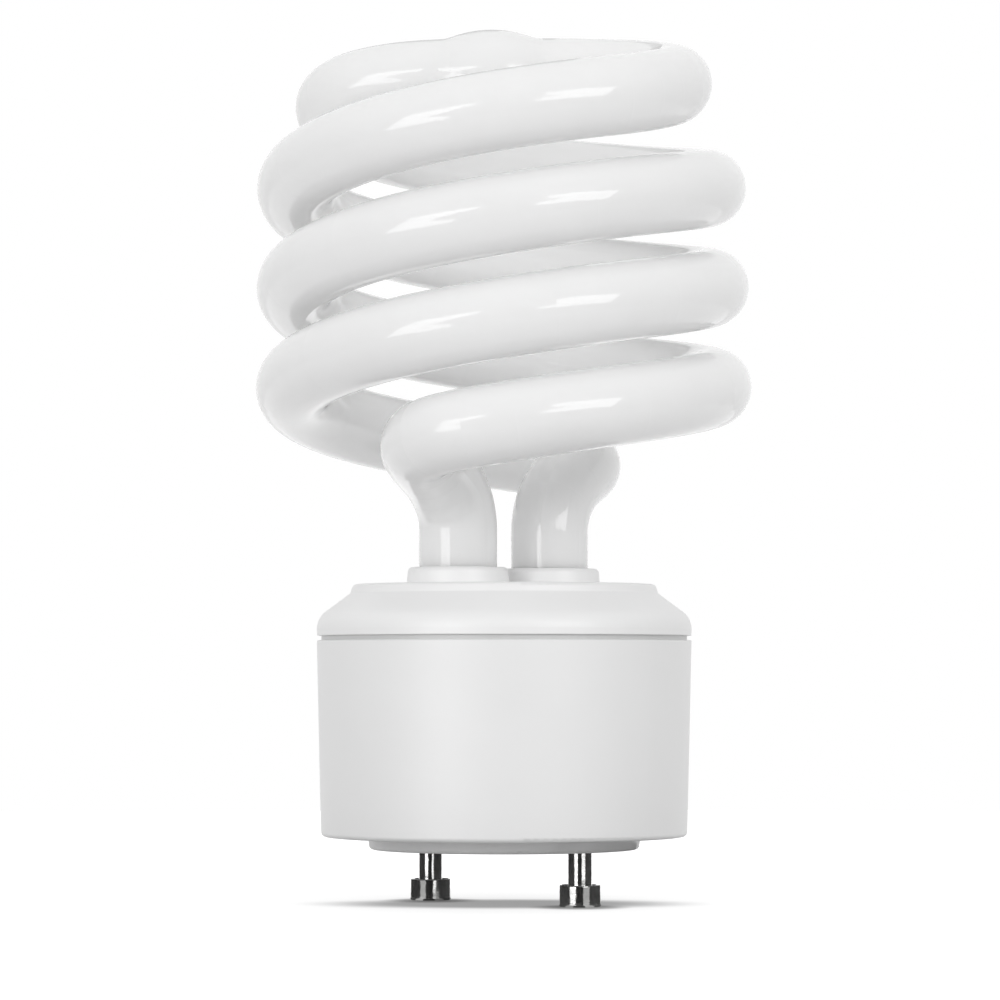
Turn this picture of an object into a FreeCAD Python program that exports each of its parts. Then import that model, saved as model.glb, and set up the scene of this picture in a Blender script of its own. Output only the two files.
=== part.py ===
"""Spiral compact fluorescent lamp on a two-pin twist-and-lock base.

Millimetres, +Z up. The origin is midway between the ends of the two contact pins, and +X runs along
the line of the pins. One bent glass tube, a double spiral with a bridge on top, stands in a moulded
cover that snaps on a ballast housing. The ballast board hangs its parts below it in the housing.
"""

import FreeCAD, Part
import math
import os

# Contact pins
PIN_SPACING = 24.0
PIN_LENGTH = 6.65
PIN_HEAD_DIAMETER = 5.0
PIN_HEAD_HEIGHT = 2.7
PIN_HEAD_ROUND = 0.35
PIN_NECK_DIAMETER = 2.9
PIN_RIVET_DIAMETER = 4.6
PIN_RIVET_HEIGHT = 0.7
PIN_TAIL_DIAMETER = 2.0
PIN_TAIL_LENGTH = 1.6
PIN_BORE_DEPTH = 2.4
PIN_CLEARANCE = 0.02

# Ballast housing
BOSS_HEIGHT = 1.55
BOSS_RADIUS = 16.57
BOSS_DRAFT = 0.2
BOSS_ROUND = 0.5
HOUSING_HEIGHT = 23.8
HOUSING_TOP_RADIUS = 22.8
HOUSING_DRAFT = 0.54
HOUSING_EDGE_ROUND = 0.6
HOUSING_WALL = 1.6
PIN_SEAT_DIAMETER = 7.0
PIN_SEAT_HEIGHT = 1.6
RIB_ANGLES = (60.0, 120.0, 240.0, 300.0)
RIB_DEPTH = 1.9
RIB_WIDTH_ANGLE = 5.0

# Seam between housing and cover
SEAM_GAP = 0.56
SEAM_DEPTH = 0.56
TONGUE_HEIGHT = 2.0
TONGUE_CLEARANCE = 0.05
MOULD_ROUND = 0.15

# Top cover
COVER_HEIGHT = 6.24
COVER_SHOULDER_HEIGHT = 2.14
COVER_SHOULDER_ROUND = 2.6
COVER_STEP_HEIGHT = 1.1
COVER_STEP_RADIUS = 18.75
COVER_STEP_SLOPE = 0.35
COVER_STEP_ROUND = 0.6
COVER_STEP_FOOT_ROUND = 0.35
COVER_WALL = 1.6
COLLAR_HEIGHT = 2.0
COLLAR_WALL = 1.38
COLLAR_DRAFT = 0.2
COLLAR_ROUND = 0.6
SOCKET_DEPTH = 2.8
SOCKET_CLEARANCE = 0.12
HOOK_ANGLES = (0.0, 90.0, 180.0, 270.0)
HOOK_WIDTH_ANGLE = 16.0
HOOK_THICKNESS = 1.2
HOOK_BARB = 0.5
HOOK_BARB_HEIGHT = 1.2
HOOK_BARB_DROP = 3.2
HOOK_CLEARANCE = 0.2

# Glass tube
TUBE_DIAMETER = 9.45
LEG_SPACING = 14.2
LEG_ANGLE = -100.9
LEG_STRAIGHT = 6.56
LEG_DEPTH = 7.4
LEG_SEAL_ROUND = 1.7
EXHAUST_DIAMETER = 3.0
EXHAUST_LENGTH = 3.0
COIL_RADIUS = 25.58
COIL_TAPER = 0.34
COIL_PITCH = 24.41
COIL_TURNS = 1.58
COIL_START_ANGLE = -46.8
COIL_START_HEIGHT = 17.96
COIL_LEAN = 1.43
COIL_LEAN_WAY = 156.3
ELBOW_LEG_PULL = 10.8
ELBOW_COIL_PULL = 20.26
BRIDGE_RISE = 5.74
BRIDGE_ANGLE = 44.2
BRIDGE_COIL_PULL = 5.93
BRIDGE_CENTRE_PULL = 33.2
COIL_STATION_STEP = 60.0
BEND_STATIONS = 4
SWELL_HEIGHT = 1.05
SWELL_ARC_RADIUS = 14.0
SWELL_OFFSET = -1.05
SWELL_BLEND = 5.0
CEMENT_HEIGHT = 1.2

# Ballast board, seen from above with the parts below it
BOARD_DROP = 7.0
BOARD_THICKNESS = 1.2
BOARD_CLEARANCE = 0.45
LEAD_RADIUS = 0.3
LEAD_TAIL = 0.9
HOLE_CLEARANCE = 0.1

# Filter capacitor
CAN_DIAMETER = 8.0
CAN_HEIGHT = 12.5
CAN_GROOVE_DROP = 2.0
CAN_GROOVE_DEPTH = 0.4
CAN_LEAD_PITCH = 3.5
CAN_PLACE = (-4.4, -7.2)

# Ballast choke
CHOKE_PLACE = (0.0, 9.4)
CHOKE_LENGTH = 14.0
CHOKE_HEIGHT = 12.0
CHOKE_DEPTH = 4.5
CHOKE_YOKE = 1.5
CHOKE_LEG = 3.8
CHOKE_STANDOFF = 0.5
BOBBIN_WALL = 0.7
BOBBIN_CLEARANCE = 0.1
BOBBIN_FLANGE_DEPTH = 10.4
BOBBIN_FOOT_DEPTH = 1.6
WINDING_INSET = 0.3

# Drive transformer
TOROID_PLACE = (4.4, -7.2)
TOROID_OUTER_RADIUS = 4.0
TOROID_INNER_RADIUS = 2.1
TOROID_HEIGHT = 3.0
TOROID_STANDOFF = 1.0
TOROID_WIRE = 0.45
TOROID_WIRE_CLEARANCE = 0.03
TOROID_WINDING_ANGLES = (0.0, 120.0, 240.0)
TOROID_TURNS = 3
TOROID_TURN_STEP = 20.0

# Transistors
TRANSISTOR_X = 13.3
TRANSISTOR_Y = 5.0
TRANSISTOR_WIDTH = 7.6
TRANSISTOR_THICKNESS = 2.7
TRANSISTOR_HEIGHT = 10.4
TRANSISTOR_HOLE_RADIUS = 1.6
TRANSISTOR_HOLE_DROP = 6.9
TRANSISTOR_LEG = 1.6
TRANSISTOR_PITCH = 2.29

# Dipped and disc capacitors
DIPPED_ROUND = 1.2
DIPPED_STANDOFF = 0.8
START_WIDTH = 10.0
START_THICKNESS = 4.2
START_HEIGHT = 8.0
START_LEAD_PITCH = 7.5
START_PLACE = (0.0, -14.5)
BLOCKING_WIDTH = 8.0
BLOCKING_THICKNESS = 3.6
BLOCKING_HEIGHT = 6.5
BLOCKING_LEAD_PITCH = 5.0
BLOCKING_PLACE = (-4.6, 0.2)
DISC_RADIUS = 2.5
DISC_THICKNESS = 2.0
DISC_ROUND = 0.65
DISC_LEAD_PITCH = 3.0
DISC_PLACE = (4.0, 0.2)

# Line choke
LINE_CHOKE_RADIUS = 2.8
LINE_CHOKE_HEIGHT = 7.5
LINE_CHOKE_FLANGE = 1.2
LINE_CHOKE_CORE_RADIUS = 1.4
LINE_CHOKE_CIRCLE = 14.2
LINE_CHOKE_ANGLE = -32.0

# Axial parts on end, each with a hairpin lead beside its body
DIODE_RADIUS = 1.35
DIODE_LENGTH = 5.0
DIODE_HAIRPIN_WIDTH = 2.2
DIODE_CIRCLE = 13.9
DIODE_FIRST_ANGLE = 192.0
DIODE_ANGLE_STEP = 12.5
FUSE_RADIUS = 1.6
FUSE_LENGTH = 8.0
FUSE_HAIRPIN_WIDTH = 2.6
FUSE_CIRCLE = 14.2
FUSE_ANGLE = -11.0
DIAC_RADIUS = 0.9
DIAC_LENGTH = 3.8
DIAC_HAIRPIN_WIDTH = 1.8
DIAC_PLACE = (9.0, 0.2)
RESISTOR_RADIUS = 1.15
RESISTOR_LENGTH = 6.3
RESISTOR_HAIRPIN_WIDTH = 2.2
RESISTOR_X = 9.4
RESISTOR_YS = (5.5, 10.0)
AXIAL_STANDOFF = 0.4
AXIAL_ROUND = 0.3
HAIRPIN_DROP = 0.5

# Wires
POST_WIDTH = 0.8
POST_HEIGHT = 4.6
POST_TAIL = 0.8
POST_EDGE = 3.4
POST_SPREAD_ANGLE = 28.0
POST_HOLE_CLEARANCE = 0.06
FILAMENT_WIRE_RADIUS = 0.25
FILAMENT_EXIT_OFFSET = 2.5
FILAMENT_DROP = 1.2
FILAMENT_BEND = 0.8
WRAP_HEIGHT = 1.5
WRAP_THICKNESS = 0.4
SUPPLY_WIRE_RADIUS = 0.8
SUPPLY_CORE_RADIUS = 0.4
SUPPLY_BEND = 5.0
SUPPLY_SHIFT = 2.5
SUPPLY_STRAIGHT = 1.6

# Levels worked out from the sizes above
BOSS_FACE = PIN_LENGTH
HOUSING_BOTTOM = BOSS_FACE + BOSS_HEIGHT
HOUSING_TOP = HOUSING_BOTTOM + HOUSING_HEIGHT
TONGUE_TOP = HOUSING_TOP + TONGUE_HEIGHT
RIM_BOTTOM = HOUSING_TOP + SEAM_GAP
COVER_TOP = RIM_BOTTOM + COVER_HEIGHT
COVER_CEILING = COVER_TOP - COVER_WALL
SOCKET_BOTTOM = COVER_CEILING - SOCKET_DEPTH
LEG_END = COVER_TOP - LEG_DEPTH
COIL_START = COVER_TOP + COIL_START_HEIGHT
BOARD_BOTTOM = HOUSING_TOP - BOARD_DROP
BOARD_TOP = BOARD_BOTTOM + BOARD_THICKNESS
LEAD_TOP = BOARD_TOP + LEAD_TAIL
HOUSING_FLOOR = HOUSING_BOTTOM + HOUSING_WALL
BOSS_FLOOR = BOSS_FACE + HOUSING_WALL
PIN_SEAT = BOSS_FLOOR + PIN_SEAT_HEIGHT
PIN_TOP = PIN_SEAT + PIN_RIVET_HEIGHT + PIN_TAIL_LENGTH

# Radii worked out from the sizes above
TUBE_RADIUS = TUBE_DIAMETER / 2
HOUSING_BOTTOM_RADIUS = HOUSING_TOP_RADIUS - HOUSING_DRAFT
HOUSING_INNER_TOP = HOUSING_TOP_RADIUS - HOUSING_WALL
HOUSING_INNER_BOTTOM = HOUSING_BOTTOM_RADIUS - HOUSING_WALL
TONGUE_RADIUS = HOUSING_TOP_RADIUS - SEAM_DEPTH
RIM_RADIUS = TONGUE_RADIUS + TONGUE_CLEARANCE
SOCKET_RADIUS = TUBE_RADIUS + SOCKET_CLEARANCE
COLLAR_RADIUS = SOCKET_RADIUS + COLLAR_WALL
BOARD_RADIUS = HOUSING_INNER_BOTTOM - BOARD_CLEARANCE
HOOK_RADIUS = HOUSING_INNER_BOTTOM - HOOK_CLEARANCE

# Share of the room at a corner that a full round takes
FULL_ROUND_SHARE = 0.95

V = FreeCAD.Vector
ORIGIN = V(0, 0, 0)
UP = V(0, 0, 1)
board_holes = []


def polar(radius, angle, z=0.0):
    return V(radius * math.cos(math.radians(angle)), radius * math.sin(math.radians(angle)), z)


def round_bar(radius, bottom, top, x=0.0, y=0.0):
    return Part.makeCylinder(radius, top - bottom, V(x, y, bottom))


def block(width, depth, bottom, top, x=0.0, y=0.0):
    return Part.makeBox(width, depth, top - bottom, V(x - width / 2, y - depth / 2, bottom))


def joined(first, *others):
    return first.fuse(list(others)).removeSplitter()


def corner(before, here, after, radius):
    """Start, middle and end of the round of one corner."""
    back = (before - here).normalize()
    ahead = (after - here).normalize()
    half = back.getAngle(ahead) / 2
    reach = radius / math.tan(half)
    inward = (back + ahead).normalize()
    return here + back * reach, here + inward * (radius / math.sin(half) - radius), here + ahead * reach


def outline(corners):
    """Face in the XZ plane from corners given as radius, height and round."""
    points = [V(r, 0, z) for r, z, bend in corners]
    rounds = []
    for i, here in enumerate(points):
        bend = corners[i][2]
        after = points[(i + 1) % len(points)]
        rounds.append(corner(points[i - 1], here, after, bend) if bend else (here, None, here))
    edges = []
    for i, (start, middle, end) in enumerate(rounds):
        if middle:
            edges.append(Part.Arc(start, middle, end).toShape())
        edges.append(Part.LineSegment(end, rounds[(i + 1) % len(rounds)][0]).toShape())
    return Part.Face(Part.Wire(edges))


def turned(corners, x=0.0, y=0.0):
    solid = outline(corners).revolve(ORIGIN, UP, 360)
    solid.translate(V(x, y, 0))
    return solid


def sector(corners, angle, width):
    """Part of a turned shape, centred on one angle."""
    solid = outline(corners).revolve(ORIGIN, UP, width)
    solid.rotate(ORIGIN, UP, angle - width / 2)
    return solid


def wire_along(points, bend, radius):
    """Round wire along straight runs with tangent arcs."""
    edges = []
    start = points[0]
    for before, here, after in zip(points, points[1:], points[2:]):
        first, middle, last = corner(before, here, after, bend)
        edges.append(Part.LineSegment(start, first).toShape())
        edges.append(Part.Arc(first, middle, last).toShape())
        start = last
    edges.append(Part.LineSegment(start, points[-1]).toShape())
    section = Part.Wire(Part.makeCircle(radius, points[0], points[1] - points[0]))
    return Part.Wire(edges).makePipe(Part.Face(section))


def lead(x, y, bottom, radius=LEAD_RADIUS):
    """Straight lead up through the board, and its hole."""
    board_holes.append((x, y, radius + HOLE_CLEARANCE))
    return round_bar(radius, bottom, LEAD_TOP, x, y)


# Glass tube


def leaning(place, way):
    """Station turned with the whole coil, which leans a little out of the base's axis."""
    lean = FreeCAD.Rotation(polar(1, COIL_LEAN_WAY + 90), COIL_LEAN)
    foot = V(0, 0, COIL_START)
    return foot + lean.multVec(place - foot), lean.multVec(way)


def coil_station(side, angle):
    """Place and direction on one strand, by the angle from the start of its coil."""
    share = angle / 360
    radius = COIL_RADIUS - COIL_TAPER * share
    turn = COIL_START_ANGLE + side + angle
    place = polar(radius, turn, COIL_START + COIL_PITCH * share)
    growth = polar(-COIL_TAPER / (2 * math.pi), turn, COIL_PITCH / (2 * math.pi))
    return leaning(place, (polar(radius, turn + 90) + growth).normalize())


def bend_stations(start, start_way, start_pull, end, end_way, end_pull):
    """Stations along a cubic bend between two directions, ends left out."""
    poles = (start, start + start_way * start_pull, end - end_way * end_pull, end)
    curve = Part.BezierCurve()
    curve.setPoles(list(poles))
    shares = [i / BEND_STATIONS for i in range(1, BEND_STATIONS)]
    return [(curve.value(share), curve.tangent(share)[0].normalize()) for share in shares]


def bridge_middle(side):
    """Station at the middle of the bridge, seen from one strand."""
    top = COIL_START + COIL_PITCH * COIL_TURNS + BRIDGE_RISE
    return leaning(V(0, 0, top), polar(1, BRIDGE_ANGLE + side))


def strand(side):
    """Stations of one strand, from the top of its leg to the middle of the bridge."""
    leg_top = polar(LEG_SPACING / 2, LEG_ANGLE + side, COVER_TOP + LEG_STRAIGHT)
    sweep = 360 * COIL_TURNS
    steps = round(sweep / COIL_STATION_STEP)
    coil = [coil_station(side, sweep * i / steps) for i in range(steps + 1)]
    middle = bridge_middle(side)
    elbow = bend_stations(leg_top, UP, ELBOW_LEG_PULL, *coil[0], ELBOW_COIL_PULL)
    bridge = bend_stations(*coil[-1], BRIDGE_COIL_PULL, *middle, BRIDGE_CENTRE_PULL)
    return [(leg_top, UP)] + elbow + coil + bridge + [middle]


def tangent_arcs(start, start_way, end, end_way):
    """Two arcs that lead from one station to the next, each as centre, axis and angle."""
    chord = end - start
    ways = start_way + end_way
    spread = 2 * (1 - start_way.dot(end_way))
    along = chord.dot(ways)
    reach = (math.sqrt(along ** 2 + spread * chord.dot(chord)) - along) / spread
    first_pole = start + start_way * reach
    second_pole = end - end_way * reach
    meeting = (first_pole + second_pole) * 0.5
    meeting_way = (second_pole - first_pole).normalize()
    arcs = []
    for place, way, target in ((start, start_way, meeting), (meeting, meeting_way, end)):
        axis = way.cross(target - place).normalize()
        half = way.getAngle(target - place)
        radius = (target - place).Length / (2 * math.sin(half))
        arcs.append((place + axis.cross(way) * radius, axis, math.degrees(2 * half)))
    return arcs


def bent_tube():
    """Both strands and the bridge as one chain of tangent ring segments."""
    second = [(place, way * -1) for place, way in reversed(strand(180)[:-1])]
    stations = strand(0) + second
    section = Part.makeCircle(TUBE_RADIUS, stations[0][0], UP)
    faces = [Part.Face(Part.Wire(section))]
    for (start, start_way), (end, end_way) in zip(stations, stations[1:]):
        for centre, axis, angle in tangent_arcs(start, start_way, end, end_way):
            faces.append(section.revolve(centre, axis, angle))
            section = section.rotated(centre, axis, angle)
    faces.append(Part.Face(Part.Wire(section)))
    shell = Part.Shell(faces)
    shell.sewShape()
    solid = Part.Solid(shell)
    if solid.Volume < 0:
        solid.reverse()
    return solid


def sealed_leg(side):
    """Straight leg with its rounded seal and exhaust tip."""
    tip = LEG_END - EXHAUST_LENGTH
    top = COVER_TOP + LEG_STRAIGHT
    exhaust = EXHAUST_DIAMETER / 2
    place = polar(LEG_SPACING / 2, LEG_ANGLE + side)
    return turned([
        (0, tip, 0), (exhaust, tip, FULL_ROUND_SHARE * exhaust), (exhaust, LEG_END, 0),
        (TUBE_RADIUS, LEG_END, LEG_SEAL_ROUND), (TUBE_RADIUS, top, 0), (0, top, 0)], place.x, place.y)


def cold_spot():
    """Barrel round the middle of the bridge, where the tube swells."""
    drop = 2 * SWELL_HEIGHT
    reach = math.sqrt(2 * SWELL_ARC_RADIUS * drop - drop ** 2)
    peak = TUBE_RADIUS + SWELL_HEIGHT
    start = V(peak - drop, 0, -reach)
    end = V(peak - drop, 0, reach)
    side = Part.Arc(start, V(peak, 0, 0), end).toShape()
    caps = Part.makePolygon([end, V(0, 0, reach), V(0, 0, -reach), start])
    barrel = Part.Face(Part.Wire([side] + caps.Edges)).revolve(ORIGIN, UP, 360)
    middle, way = bridge_middle(0)
    barrel.Placement = FreeCAD.Placement(middle + way * SWELL_OFFSET, FreeCAD.Rotation(UP, way))
    return barrel


def spiral_tube():
    """Glass tube with the swollen cold spot on its bridge."""
    tube = bent_tube().fuse([sealed_leg(0), sealed_leg(180), cold_spot()]).removeSplitter()
    swollen = [face for face in tube.Faces if isinstance(face.Surface, Part.SurfaceOfRevolution)]
    edges = [edge for face in swollen for edge in face.Edges]
    rim = [edge for edge in edges if len(tube.ancestorsOfType(edge, Part.Face)) == 2]
    return tube.makeFillet(SWELL_BLEND, rim)


def tube_cement(side):
    """Bead that fixes one leg under its socket."""
    place = polar(LEG_SPACING / 2, LEG_ANGLE + side)
    bead = round_bar(COLLAR_RADIUS, SOCKET_BOTTOM - CEMENT_HEIGHT, SOCKET_BOTTOM, place.x, place.y)
    return bead.cut(round_bar(TUBE_RADIUS, LEG_END, COVER_TOP, place.x, place.y))


# Cover, housing and pins


def collar(side):
    """Raised rim and inner socket round one leg."""
    place = polar(LEG_SPACING / 2, LEG_ANGLE + side)
    return turned([
        (0, SOCKET_BOTTOM, 0), (COLLAR_RADIUS, SOCKET_BOTTOM, 0), (COLLAR_RADIUS, COVER_TOP, 0),
        (COLLAR_RADIUS - COLLAR_DRAFT, COVER_TOP + COLLAR_HEIGHT, COLLAR_ROUND),
        (0, COVER_TOP + COLLAR_HEIGHT, 0)], place.x, place.y)


def snap_hook(angle):
    """Hook that grips the housing wall and holds the board down with its tip."""
    barb_top = HOUSING_TOP - HOOK_BARB_DROP + HOOK_BARB_HEIGHT
    inner = HOOK_RADIUS - HOOK_THICKNESS
    return sector([
        (inner, BOARD_TOP, 0), (HOOK_RADIUS, BOARD_TOP, 0),
        (HOOK_RADIUS, barb_top - HOOK_BARB_HEIGHT, 0), (HOUSING_INNER_TOP + HOOK_BARB, barb_top, 0),
        (HOOK_RADIUS, barb_top, 0), (HOOK_RADIUS, TONGUE_TOP + HOOK_CLEARANCE, 0),
        (inner, TONGUE_TOP + COVER_WALL, 0)], angle, HOOK_WIDTH_ANGLE)


def top_cover():
    """Cover with its stepped shoulder, two collars and four snap hooks."""
    shoulder = RIM_BOTTOM + COVER_SHOULDER_HEIGHT
    step = COVER_TOP - COVER_STEP_HEIGHT
    inner_edge = COVER_STEP_RADIUS - COVER_WALL
    shell = turned([
        (0, COVER_CEILING, 0), (inner_edge, COVER_CEILING, COVER_STEP_ROUND),
        (HOOK_RADIUS, TONGUE_TOP + HOOK_CLEARANCE, 0), (HOOK_RADIUS, TONGUE_TOP, 0),
        (RIM_RADIUS, TONGUE_TOP, 0), (RIM_RADIUS, RIM_BOTTOM, 0),
        (HOUSING_TOP_RADIUS, RIM_BOTTOM, MOULD_ROUND),
        (HOUSING_TOP_RADIUS, shoulder, COVER_SHOULDER_ROUND),
        (COVER_STEP_RADIUS, step, COVER_STEP_FOOT_ROUND),
        (COVER_STEP_RADIUS - COVER_STEP_SLOPE, COVER_TOP, COVER_STEP_ROUND), (0, COVER_TOP, 0)])
    hooks = [snap_hook(angle) for angle in HOOK_ANGLES]
    body = joined(shell, collar(0), collar(180), *hooks)
    sockets = []
    for side in (0, 180):
        place = polar(LEG_SPACING / 2, LEG_ANGLE + side)
        sockets.append(round_bar(SOCKET_RADIUS, LEG_END, COVER_TOP + COLLAR_HEIGHT, place.x, place.y))
    return body.cut(sockets)


def board_rib(angle):
    """Rib inside the housing that carries the board."""
    inner = HOUSING_INNER_BOTTOM - RIB_DEPTH
    return sector([
        (inner, HOUSING_FLOOR, 0), (HOUSING_INNER_TOP, HOUSING_FLOOR, 0),
        (HOUSING_INNER_TOP, BOARD_BOTTOM, 0), (inner, BOARD_BOTTOM, 0)], angle, RIB_WIDTH_ANGLE)


def hook_pocket(angle):
    """Pocket in the housing wall for one barb."""
    bottom = HOUSING_TOP - HOOK_BARB_DROP - HOOK_CLEARANCE
    top = HOUSING_TOP - HOOK_BARB_DROP + HOOK_BARB_HEIGHT + HOOK_CLEARANCE
    outer = HOUSING_INNER_TOP + HOOK_BARB + HOOK_CLEARANCE
    return sector([
        (HOOK_RADIUS, bottom, 0), (outer, bottom, 0), (outer, top, 0), (HOOK_RADIUS, top, 0)],
        angle, HOOK_WIDTH_ANGLE + RIB_WIDTH_ANGLE)


def ballast_housing():
    """Cup with a boss below, a tongue at the seam, board ribs and pin seats."""
    shell = turned([
        (0, BOSS_FACE, 0), (BOSS_RADIUS - BOSS_DRAFT, BOSS_FACE, BOSS_ROUND),
        (BOSS_RADIUS, HOUSING_BOTTOM, 0), (HOUSING_BOTTOM_RADIUS, HOUSING_BOTTOM, HOUSING_EDGE_ROUND),
        (HOUSING_TOP_RADIUS, HOUSING_TOP, MOULD_ROUND), (TONGUE_RADIUS, HOUSING_TOP, 0),
        (TONGUE_RADIUS, TONGUE_TOP, MOULD_ROUND), (HOUSING_INNER_TOP, TONGUE_TOP, MOULD_ROUND),
        (HOUSING_INNER_BOTTOM, HOUSING_FLOOR, HOUSING_EDGE_ROUND),
        (BOSS_RADIUS - HOUSING_WALL, HOUSING_FLOOR, 0), (BOSS_RADIUS - HOUSING_WALL, BOSS_FLOOR, 0),
        (0, BOSS_FLOOR, 0)])
    additions = [board_rib(angle) for angle in RIB_ANGLES]
    cuts = [hook_pocket(angle) for angle in HOOK_ANGLES]
    for x in (-PIN_SPACING / 2, PIN_SPACING / 2):
        additions.append(round_bar(PIN_SEAT_DIAMETER / 2, BOSS_FLOOR, PIN_SEAT, x))
        cuts.append(round_bar(PIN_NECK_DIAMETER / 2 + PIN_CLEARANCE, BOSS_FACE, PIN_SEAT, x))
    return joined(shell, *additions).cut(cuts)


def contact_pin(x):
    """Headed pin, riveted over its seat, with a bored tail for the supply wire."""
    head = PIN_HEAD_DIAMETER / 2
    neck = PIN_NECK_DIAMETER / 2
    rivet = PIN_RIVET_DIAMETER / 2
    tail = PIN_TAIL_DIAMETER / 2
    bore = SUPPLY_CORE_RADIUS + HOLE_CLEARANCE
    rivet_top = PIN_SEAT + PIN_RIVET_HEIGHT
    return turned([
        (0, 0, 0), (head, 0, PIN_HEAD_ROUND), (head, PIN_HEAD_HEIGHT, MOULD_ROUND),
        (neck, PIN_HEAD_HEIGHT, 0), (neck, PIN_SEAT, 0), (rivet, PIN_SEAT, 0),
        (rivet, rivet_top, MOULD_ROUND), (tail, rivet_top, 0), (tail, PIN_TOP, 0), (bore, PIN_TOP, 0),
        (bore, PIN_TOP - PIN_BORE_DEPTH, 0), (0, PIN_TOP - PIN_BORE_DEPTH, 0)], x)


# Ballast parts


def filter_capacitor():
    x, y = CAN_PLACE
    radius = CAN_DIAMETER / 2
    groove = BOARD_BOTTOM - CAN_GROOVE_DROP
    bottom = BOARD_BOTTOM - CAN_HEIGHT
    can = turned([
        (0, bottom, 0), (radius, bottom, CAN_GROOVE_DEPTH), (radius, groove - CAN_GROOVE_DEPTH, 0),
        (radius - CAN_GROOVE_DEPTH, groove, 0), (radius, groove + CAN_GROOVE_DEPTH, 0),
        (radius, BOARD_BOTTOM, CAN_GROOVE_DEPTH), (0, BOARD_BOTTOM, 0)], x, y)
    leads = [lead(x + side * CAN_LEAD_PITCH / 2, y, BOARD_BOTTOM) for side in (-1, 1)]
    return joined(can, *leads)


def choke_levels():
    """Middle height of the choke, and half the height of its winding window."""
    middle = BOARD_BOTTOM - CHOKE_STANDOFF - CHOKE_HEIGHT / 2
    return middle, CHOKE_HEIGHT / 2 - CHOKE_YOKE


def choke_core():
    """Ferrite core with a middle leg between two windows."""
    x, y = CHOKE_PLACE
    middle, window = choke_levels()
    inner = CHOKE_LENGTH - 2 * CHOKE_YOKE
    core = block(CHOKE_LENGTH, CHOKE_DEPTH, middle - CHOKE_HEIGHT / 2, middle + CHOKE_HEIGHT / 2, x, y)
    hollow = block(inner, CHOKE_DEPTH, middle - window, middle + window, x, y)
    leg = block(inner, CHOKE_DEPTH, middle - CHOKE_LEG / 2, middle + CHOKE_LEG / 2, x, y)
    return joined(core.cut(hollow), leg)


def choke_tube(wall):
    """Half depth and half height of a sleeve of one wall round the choke's middle leg."""
    return CHOKE_DEPTH / 2 + BOBBIN_CLEARANCE + wall, CHOKE_LEG / 2 + BOBBIN_CLEARANCE + wall


def choke_bobbin():
    """Bobbin round the middle leg, with feet and pins on the board."""
    x, y = CHOKE_PLACE
    middle, window = choke_levels()
    length = CHOKE_LENGTH - 2 * CHOKE_YOKE - 2 * BOBBIN_CLEARANCE
    depth, height = choke_tube(BOBBIN_WALL)
    flange = window - BOBBIN_CLEARANCE
    pieces = []
    for side in (-1, 1):
        end = x + side * (length - BOBBIN_WALL) / 2
        pieces.append(block(BOBBIN_WALL, BOBBIN_FLANGE_DEPTH, middle - flange, middle + flange, end, y))
        for edge in (-1, 1):
            foot = y + edge * (BOBBIN_FLANGE_DEPTH - BOBBIN_FOOT_DEPTH) / 2
            pieces.append(block(BOBBIN_WALL, BOBBIN_FOOT_DEPTH, middle, BOARD_BOTTOM, end, foot))
            pieces.append(lead(end, foot, BOARD_BOTTOM))
    sleeve = block(length, 2 * depth, middle - height, middle + height, x, y)
    depth, height = choke_tube(0)
    return joined(sleeve, *pieces).cut(block(length, 2 * depth, middle - height, middle + height, x, y))


def choke_winding():
    """Copper winding that fills the bobbin between its flanges."""
    x, y = CHOKE_PLACE
    middle, window = choke_levels()
    length = CHOKE_LENGTH - 2 * CHOKE_YOKE - 2 * (BOBBIN_CLEARANCE + BOBBIN_WALL)
    depth = BOBBIN_FLANGE_DEPTH - 2 * WINDING_INSET
    height = window - BOBBIN_CLEARANCE - WINDING_INSET
    coil = block(length, depth, middle - height, middle + height, x, y)
    boxes = [(edge, edge.BoundBox) for edge in coil.Edges]
    long_edges = [edge for edge, box in boxes if box.XLength > box.YLength + box.ZLength]
    coil = coil.makeFillet(BOBBIN_WALL, long_edges)
    depth, height = choke_tube(BOBBIN_WALL)
    return coil.cut(block(length, 2 * depth, middle - height, middle + height, x, y))


def drive_core():
    """Ferrite ring of the drive transformer."""
    top = BOARD_BOTTOM - TOROID_STANDOFF
    ring = round_bar(TOROID_OUTER_RADIUS, top - TOROID_HEIGHT, top, *TOROID_PLACE)
    return ring.cut(round_bar(TOROID_INNER_RADIUS, top - TOROID_HEIGHT, top, *TOROID_PLACE))


def drive_turn(angle):
    """One turn of wire round the section of the drive ring."""
    gap = TOROID_WIRE_CLEARANCE
    top = BOARD_BOTTOM - TOROID_STANDOFF
    loops = []
    for grow in (gap + TOROID_WIRE, gap):
        low = top - TOROID_HEIGHT - grow
        inner = TOROID_INNER_RADIUS - grow
        outer = TOROID_OUTER_RADIUS + grow
        high = top + grow
        loops.append(outline([(inner, low, 0), (outer, low, 0), (outer, high, 0), (inner, high, 0)]))
    width = math.degrees(TOROID_WIRE / TOROID_INNER_RADIUS)
    turn = loops[0].cut(loops[1]).revolve(ORIGIN, UP, width)
    turn.rotate(ORIGIN, UP, angle - width / 2)
    turn.translate(V(*TOROID_PLACE, 0))
    return turn


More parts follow.
